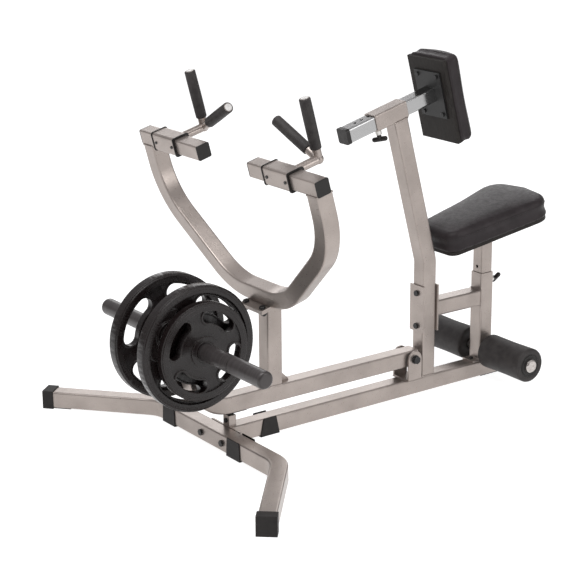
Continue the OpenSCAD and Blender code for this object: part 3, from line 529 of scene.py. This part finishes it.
def lathe_piece(name, start, axis, profile, slot, body):
    """A piece turned from a closed profile."""
    points = lathe(start, axis, profile)
    faces = grid_faces(*points.shape[:2], True)
    return make_piece(name, points, faces, slot, body)


def arc(centre, radius, start, end, steps):
    """Points on a circle arc between two angles, in degrees."""
    turn = np.radians(np.linspace(start, end, steps))
    return np.stack((centre[0] + radius * np.cos(turn), centre[1] + radius * np.sin(turn)), -1)


# ---- upholstery ----


def outline_radius(flat, turn):
    """How far a convex outline reaches in each direction: the least, over all facing directions,
    of the outline's support divided by the cosine of the angle between the two directions."""
    facing = np.linspace(0, 2 * np.pi, 720, endpoint=False)
    normals = np.stack((np.cos(facing), np.sin(facing)))
    support = (flat @ normals).max(0)
    cosine = np.cos(turn[:, None] - facing)
    least = 0.02
    reach = np.where(cosine > least, support / np.maximum(cosine, least), np.inf)
    return reach.min(1)


def to_local(points, place):
    """Frame points as (across, along, up) of a place, which is three directions and an origin."""
    return (points - place[3]) @ np.array(place[:3]).T


def to_frame(local, place):
    """Local (across, along, up) points of a place as frame points."""
    return local @ np.array(place[:3]) + place[3]


def circle(steps):
    """Directions round a circle, as angles and as unit points."""
    turn = np.linspace(0, 2 * np.pi, steps, endpoint=False)
    return turn, np.stack((np.cos(turn), np.sin(turn)), -1)


def level(flat, height):
    """Flat points at one height."""
    return np.column_stack((flat, np.full(len(flat), height)))


def cushion_profile(thickness, shoulder, lip, pinch):
    """Inset from the outline and height, up the side of a cushion: a small lip at the board, a side
    that is pulled in by pinch half-way up, and a round shoulder under the top."""
    low = arc((lip, lip), lip, 270, 180, 6)
    height = np.linspace(lip, thickness - shoulder, 14)[1:-1]
    share = (height - lip) / (thickness - shoulder - lip)
    side = np.stack((pinch * np.sin(np.pi * share) ** 2, height), -1)
    high = arc((shoulder, thickness - shoulder), shoulder, 180, 90, 12)
    return np.vstack((low, side, high))


def cushion_surface(node, place, size, crown, columns=220, rows=26):
    """Rings carried up a profile and in over a crowned top. place maps local points (across, along,
    up) to the frame; crown(across, along) is the extra height of the top."""
    turn, ring = circle(columns)
    local = to_local(node_points(node), place)
    middle = (local.max(0) + local.min(0)) / 2
    flat = local[:, :2] - middle[:2]
    reach = outline_radius(flat, turn)[:, None]
    profile = cushion_profile(*size)
    first, last = profile[0], profile[-1]
    under = np.linspace(0, 1, 8)[1:]
    over = np.linspace(1, 0, rows)[1:-1]
    rings = [level(ring * (reach - first[0]) * share, 0) for share in under]
    rings += [level(ring * (reach - inset), height) for inset, height in profile[1:]]
    rings += [level(ring * (reach - last[0]) * share, last[1]) for share in over]
    points = np.array(rings)
    width = np.abs(flat).max(0)
    lift = crown(points[..., 0] / width[0], points[..., 1] / width[1])
    points[..., 2] += lift * np.clip(points[..., 2] / last[1], 0, 1) ** 2
    poles = np.array([[0, 0, 0], [0, 0, last[1] + crown(0.0, 0.0)]])
    count = len(points) * columns
    here = np.arange(columns)
    beside = (here + 1) % columns
    top = count - columns
    faces = [*grid_faces(len(points), columns)]
    faces += [*np.stack((np.full(columns, count), beside, here), -1)]
    faces += [*np.stack((np.full(columns, count + 1), top + here, top + beside), -1)]
    local_points = np.vstack((points.reshape(-1, 3), poles))
    local_points += (*middle[:2], local[:, 2].min())
    return to_frame(local_points, place), faces


def bake(piece):
    """Makes the live modifiers part of the mesh."""
    shown = piece.evaluated_get(bpy.context.evaluated_depsgraph_get())
    mesh = bpy.data.meshes.new_from_object(shown)
    piece.modifiers.clear()
    old, piece.data = piece.data, mesh
    bpy.data.meshes.remove(old)


def even_cloth(piece, size):
    """Gives the cover even quads of about the given size, so that it can stretch like cloth."""
    modifier = piece.modifiers.new("even", "REMESH")
    modifier.mode = "VOXEL"
    modifier.voxel_size = size
    modifier.use_smooth_shade = True
    bake(piece)


def surface_of(piece):
    """The points of a mesh and the normal at each."""
    points = coordinates(piece.data)
    normals = np.empty(points.size)
    piece.data.vertex_normals.foreach_get("vector", normals)
    return points, normals.reshape(-1, 3)


def evened(mesh, change, rounds):
    """Each point's change becomes the mean of its own and its neighbours', rounds times over."""
    edges = np.empty(len(mesh.edges) * 2, int)
    mesh.edges.foreach_get("vertices", edges)
    start, end = edges.reshape(-1, 2).T
    count = np.bincount(start, minlength=len(change)) + np.bincount(end, minlength=len(change)) + 1
    for _ in range(rounds):
        total = change.copy()
        for axis in range(3):
            total[:, axis] += np.bincount(start, change[end, axis], len(change))
            total[:, axis] += np.bincount(end, change[start, axis], len(change))
        change = total / count[:, None]
    return change


def inflate(piece, most, still):
    """Lets the cover swell as cloth under pressure and moves each point by less than most. The
    points for which still is true, which are those on the board, are held."""
    mesh = piece.data
    rest = coordinates(mesh)
    group = piece.vertex_groups.new(name="held")
    group.add([int(i) for i in np.flatnonzero(still(rest))], 1.0, "REPLACE")
    cloth = piece.modifiers.new("cloth", "CLOTH")
    settings = cloth.settings
    settings.quality = 5
    settings.mass = 0.4
    settings.tension_stiffness = 30
    settings.compression_stiffness = 30
    settings.bending_stiffness = 5
    settings.use_pressure = True
    settings.uniform_pressure_force = COVER_PRESSURE
    settings.vertex_group_mass = "held"
    settings.effector_weights.gravity = 0
    scene = bpy.context.scene
    for step in range(1, COVER_FRAMES + 1):
        scene.frame_set(step)
    shown = piece.evaluated_get(bpy.context.evaluated_depsgraph_get())
    change = evened(mesh, coordinates(shown.data) - rest, SMOOTHING_ROUNDS)
    length = np.linalg.norm(change, axis=1, keepdims=True)
    change *= most / (most + length)
    piece.modifiers.remove(cloth)
    piece.vertex_groups.remove(group)
    mesh.vertices.foreach_set("co", (rest + change).ravel())
    mesh.update()
    scene.frame_set(1)


def subdivide(piece):
    """One round of smooth subdivision, made part of the mesh."""
    modifier = piece.modifiers.new("smooth", "SUBSURF")
    modifier.levels = modifier.render_levels = 1
    bake(piece)


def seam(name, cover, loop, up, body, radius=0.0011, band=0.008, fall=0.003):
    """A welt on a cover: each point of the loop goes to the weighted mean of the cover's points in
    a band round the loop, the weight falling as exp(-distance squared / (2 fall squared)), and a
    small circle is carried round."""
    points, normals = surface_of(cover)
    near = np.abs((points - loop.mean(0)) @ up) < band
    apart = ((loop[:, None] - points[near][None]) ** 2).sum(-1)
    weight = np.exp(-(apart - apart.min(1, keepdims=True)) / (2 * fall**2))
    weight /= weight.sum(1, keepdims=True)
    place, normal = weight @ points[near], weight @ normals[near]
    normal /= np.linalg.norm(normal, axis=1, keepdims=True)
    ahead = np.roll(place, -1, 0) - np.roll(place, 1, 0)
    side = np.cross(normal, ahead / np.linalg.norm(ahead, axis=1, keepdims=True))
    out, round_side = circle(BEAD_STEPS)[1].T[..., None]
    ring = out * normal[:, None] + round_side * side[:, None]
    faces = grid_faces(len(loop), BEAD_STEPS, True)
    make_piece(name, place[:, None] + radius * ring, faces, "vinyl", body)


def outline_loop(node, place, height, columns=360):
    """The outline of a node at a height over its board, as points in the frame."""
    turn, ring = circle(columns)
    local = to_local(node_points(node), place)
    middle = (local.max(0) + local.min(0)) / 2
    flat = ring * outline_radius(local[:, :2] - middle[:2], turn)[:, None] + middle[:2]
    return to_frame(level(flat, local[:, 2].min() + height), place)


def seat_cushion():
    """A tapered, tilted seat: flat in the middle, its top falling away softly to the edges."""
    cosine, sine = math.cos(SEAT_TILT), math.sin(SEAT_TILT)
    low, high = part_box("seat_cushion")
    middle = np.array([0, (low.y + high.y) / 2, low.z])
    place = ((1, 0, 0), (0, cosine, sine), (0, -sine, cosine), middle)

    def crown(across, along):
        return 0.006 * (1 - across**2) * (1 - along**4)

    points, faces = cushion_surface("seat_cushion", place, SEAT_SIZES, crown)
    cover = make_piece("seat_cover", points, faces, "vinyl", "seat")
    up = np.array(place[2])
    floor = (node_points("seat_cushion") @ up).min()
    even_cloth(cover, size=0.0045)
    inflate(cover, most=0.005, still=lambda p: p @ up < floor + HELD_HEIGHT)
    subdivide(cover)
    for name, height in (("seat_top_seam", 0.043), ("seat_low_seam", 0.007)):
        seam(name, cover, outline_loop("seat_cushion", place, height), up, "seat")
    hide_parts("seat_cushion")


def chest_cushion():
    """A tall pad whose face is rounded from side to side."""
    low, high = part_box("pad_cushion")
    place = ((-1, 0, 0), LEAN_UP, LEAN_ALONG, np.array((low + high) / 2))

    def crown(across, tall):
        rounded = np.cos(np.clip(across, -1, 1) * np.pi / 2) ** 1.2
        return 0.017 * rounded * (1 - 0.12 * tall**4)

    points, faces = cushion_surface("pad_cushion", place, CHEST_SIZES, crown)
    cover = make_piece("chest_cover", points, faces, "vinyl", "chest_pad")
    back = (node_points("pad_cushion") @ LEAN_ALONG).min()
    even_cloth(cover, size=0.004)
    inflate(cover, most=0.004, still=lambda p: p @ LEAN_ALONG < back + HELD_HEIGHT)
    subdivide(cover)
    for name, height in (("chest_front_seam", 0.034), ("chest_back_seam", 0.007)):
        loop = outline_loop("pad_cushion", place, height)
        seam(name, cover, loop, LEAN_ALONG, "chest_pad")
    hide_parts("pad_cushion")


# ---- foam ----


def roller_foam(side, sign):
    """A thick foam sleeve with soft shoulders, a slight waist and two thin rings on its end."""
    low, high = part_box("roller_foam_" + side)
    core_low, core_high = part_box("roller_core_" + side)
    radius = (high.z - low.z) / 2
    length = high.x - low.x
    flange = (core_high.z - core_low.z) / 2
    depth, shoulder = 0.004, 0.02
    round_in, round_out = 0.005, 0.008
    inner = low.x if sign > 0 else high.x
    start = (inner, (low.y + high.y) / 2, (low.z + high.z) / 2)
    profile = [(0, ROLLER_BORE)]
    profile += arc((round_in, radius - round_in), round_in, 180, 90, 7).tolist()
    middle = np.linspace(shoulder, length - shoulder, 12)
    waist = 0.0006
    turns = 2 * math.pi / length
    profile += [(x, radius - waist * (1 - math.cos(x * turns))) for x in middle]
    profile += arc((length - round_out, radius - round_out), round_out, 90, 0, 9).tolist()
    edge, clear = 0.0012, 0.0001
    profile += [(length, flange + edge), (length - edge, flange + clear)]
    profile += [(length - depth, flange + clear), (length - depth, ROLLER_BORE)]
    out, body = (sign, 0, 0), "roller_" + side
    foam = lathe_piece("roller_cover_" + side, start, out, profile, "foam", body)
    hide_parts("roller_foam_" + side)
    for number, ring in enumerate((0.0255, 0.0325)):
        profile = arc((length, ring), 0.0012, 0, 360, RING_POINTS)[:-1]
        lathe_piece(f"roller_ring_{number}_{side}", start, out, profile, "black_plastic", body)


def grip_sleeve(name, hub, axis, reach, body):
    """A foam tube with rounded ends and a slight swell in the middle. reach is where it starts and
    ends along the axis from the hub."""
    length = reach[1] - reach[0]
    end, step, swell, plain = 0.0035, 0.0006, 0.0004, 0.012
    profile = [(step, GRIP_BAR)]
    profile += arc((end, GRIP_RADIUS - end), end, 190, 90, 7).tolist()
    middle = np.linspace(plain, length - plain, 14)
    profile += [(x, GRIP_RADIUS + swell * math.sin(math.pi * x / length)) for x in middle]
    profile += arc((length - end, GRIP_RADIUS - end), end, 90, -10, 7).tolist()
    profile += [(length - step, GRIP_BAR)]
    return lathe_piece(name, hub + axis * reach[0], axis, profile, "foam", body)


def grips(side, sign):
    """Two foam grips on each handle: one along the lean of the yoke and one that slopes inward."""
    points = node_points("grips_" + side)
    inward = math.cos(GRIP_RISE) * np.array([-sign, 0, 0]) + math.sin(GRIP_RISE) * LEAN_UP
    across = sign * points[:, 0]
    clear = 0.0005
    upright_only = points[across > across.max() - 2 * GRIP_RADIUS - clear]
    hub = np.array([sign * (across.max() - GRIP_RADIUS), 0, 0])
    hub = hub + ((points @ LEAN_ALONG).max() - GRIP_RADIUS) * LEAN_ALONG
    hub = hub + ((upright_only @ LEAN_UP).max() - GRIP_UP[1]) * LEAN_UP
    body = "carriage_" + side
    upright = grip_sleeve("grip_upright_" + side, hub, LEAN_UP, GRIP_UP, body)
    grip_sleeve("grip_inward_" + side, hub, inward, GRIP_IN, body)
    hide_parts("grips_" + side)


# ---- softened castings and mouldings ----


def softened(node, width, segments=2):
    """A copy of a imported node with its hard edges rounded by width."""
    source = frame["nodes"][node]
    mesh = source.data.copy()
    piece = bpy.data.objects.new(node + "_rounded", mesh)
    bpy.context.scene.collection.objects.link(piece)
    tidy_mesh(mesh)
    mesh.set_sharp_from_angle(angle=SHARP_ANGLE)
    bevel = piece.modifiers.new("edges", "BEVEL")
    bevel.width = width
    bevel.segments = segments
    bevel.limit_method = "ANGLE"
    bevel.angle_limit = SHARP_ANGLE
    bevel.harden_normals = True
    record = frame["record"]
    bodies = record["behaviour"]["bodies"].items()
    body = next(body for body, nodes in bodies if node in nodes)
    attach(piece, body)
    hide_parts(node)


def plate_rings(plate):
    """A low ring round the bore and another inside the rim, on the plate's outer face: each is a
    small circle turned once round the horn, sunk so that only its crest stands out."""
    low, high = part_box(plate)
    sign = 1 if high.x > 0 else -1
    outer = high.x if sign > 0 else low.x
    middle = np.array([outer, (low.y + high.y) / 2, (low.z + high.z) / 2])
    rim = (high.z - low.z) / 2 - 0.0115
    for ring, radius, sink in (("hub", HUB_RING, HUB_DIP + 0.0004), ("rim", rim, 0.0008)):
        profile = arc((-sink, radius), 0.0013, 0, 360, RING_POINTS)[:-1]
        lathe_piece(f"{ring}_ring_{plate}", middle, (sign, 0, 0), profile, "plate_black", plate)


# ---- weld beads ----


def square_loop(half_side, half_up, corner, steps=6):
    """A rounded rectangle as (across, up) points: four arcs joined by their straight sides."""
    middle_side, middle_up = half_side - corner, half_up - corner
    signs = ((1, 1), (-1, 1), (-1, -1), (1, -1))
    quarters = [
        arc((x * middle_side, y * middle_up), corner, 90 * number, 90 * (number + 1), steps)
        for number, (x, y) in enumerate(signs)
    ]
    return np.vstack(quarters)


def even_steps(loop, gap):
    """The closed loop walked in equal steps of about gap."""
    closed = np.vstack((loop, loop[:1]))
    lengths = np.linalg.norm(np.diff(closed, axis=0), axis=1)
    walked = np.concatenate(([0], np.cumsum(lengths)))
    stops = np.linspace(0, walked[-1], int(walked[-1] / gap), endpoint=False)
    return np.stack([np.interp(stops, walked, axis) for axis in closed.T], -1), stops


def weld_bead(
    name,
    centre,
    side,
    up,
    body,
    half_side=TUBE_HALF,
    half_up=TUBE_HALF,
    corner=TUBE_CORNER,
    radius=0.0026,
):
    """A rippled bead along a rounded rectangle: a small circle carried round the loop, its radius
    swelling and falling with the sine of the distance walked."""
    step, ripple, depth = 0.0011, 0.0042, 0.10
    side, up = np.asarray(side, float), np.asarray(up, float)
    loop, walked = even_steps(square_loop(half_side, half_up, corner), step)
    ahead = np.roll(loop, -1, 0) - np.roll(loop, 1, 0)
    ahead /= np.linalg.norm(ahead, axis=1, keepdims=True)
    out = np.stack((ahead[:, 1], -ahead[:, 0]), -1)
    swell = radius * (1 + depth * np.sin(2 * np.pi * walked / ripple))
    turn = circle(BEAD_STEPS)[0]
    normal = np.cross(side, up)
    flat = loop[:, None] + (swell[:, None] * np.cos(turn))[..., None] * out[:, None]
    rise = (swell[:, None] * np.sin(turn))[..., None] * normal
    points = np.asarray(centre) + flat[..., :1] * side + flat[..., 1:] * up + rise
    faces = grid_faces(len(loop), BEAD_STEPS, True)
    make_piece(name, points, faces, "frame_paint", body)


def foot_weld(name, node, radius):
    """A bead round the foot of a plate that stands on the rail."""
    low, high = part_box(node)
    foot = (0, (low.y + high.y) / 2, low.z)
    half_up = (high.y - low.y) / 2
    weld_bead(name, foot, (1, 0, 0), (0, 1, 0), "base", high.x, half_up, 0.001, radius)


def weld_beads():
    """Beads where the tubes of the frame and of the lever meet."""
    x, y, z = np.eye(3)
    low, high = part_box("upright_post")
    weld_bead("weld_upright_foot", (0, high.y - TUBE_HALF, low.z), x, y, "base")
    low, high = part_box("seat_brace")
    middle = (low.z + high.z) / 2
    for end, place in (("front", low.y), ("rear", high.y)):
        weld_bead(f"weld_brace_{end}", (0, place, middle), x, z, "base")
    low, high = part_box("seat_post")
    raised = 0.006
    foot = (0, (low.y + high.y) / 2, low.z + raised)
    weld_bead("weld_seat_post_foot", foot, x, y, "base")
    low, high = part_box("post_gusset")
    weld_bead("weld_lever_post_foot", (0, low.y - TUBE_HALF, low.z), x, y, "lever")
    foot_weld("weld_stop_foot", "lever_stop", 0.0016)
    foot_weld("weld_pivot_foot", "pivot_bracket", 0.002)
    post = node_points("upright_post")
    top = (node_points("pad_sleeve") @ LEAN_UP).min()
    near_top = 0.02
    front = (post[post @ LEAN_UP > top - near_top] @ LEAN_ALONG).min()
    centre = LEAN_UP * top + LEAN_ALONG * (front + TUBE_HALF)
    weld_bead("weld_pad_sleeve", centre, x, LEAN_ALONG, "base")
    yoke = node_points("yoke")
    arm_top = (yoke @ LEAN_UP).max()
    arm_end = 0.01
    arm = yoke[yoke @ LEAN_UP > arm_top - arm_end]
    along = arm @ LEAN_ALONG
    arm_along = (along.max() + along.min()) / 2
    arm_out = arm[:, 0].max() - TUBE_HALF
    for end, sign in (("left", 1), ("right", -1)):
        centre = sign * arm_out * x + arm_top * LEAN_UP + arm_along * LEAN_ALONG
        weld_bead(f"weld_yoke_arm_{end}", centre, x, LEAN_ALONG, "lever")


# ---- the scene ----

make_camera()
bpy.context.scene.view_settings.view_transform = "Standard"
make_world()
make_floor()
centre = (0, -0.2, 0.45)
area_light("key_above", (0.6, -1.2, 3.4), centre, (2.6, 2.2), 74)
area_light("fill_right", (3.6, 1.4, 1.6), centre, (1.7, 1.7), 30)
area_light("softbox_behind", (-3.4, 2.4, 2.0), centre, (3.4, 1.6), 36)

paint_cad_nodes()
seat_cushion()
chest_cushion()
for side, sign in (("left", 1), ("right", -1)):
    roller_foam(side, sign)
    grips(side, sign)
for plate in ("plate_left", "plate_small", "plate_right"):
    softened(plate, 0.0016, 3)
    plate_rings(plate)
for moulding in ("stabilizer_caps", "clip_feet", "stop_strip"):
    softened(moulding, 0.0010)
weld_beads()
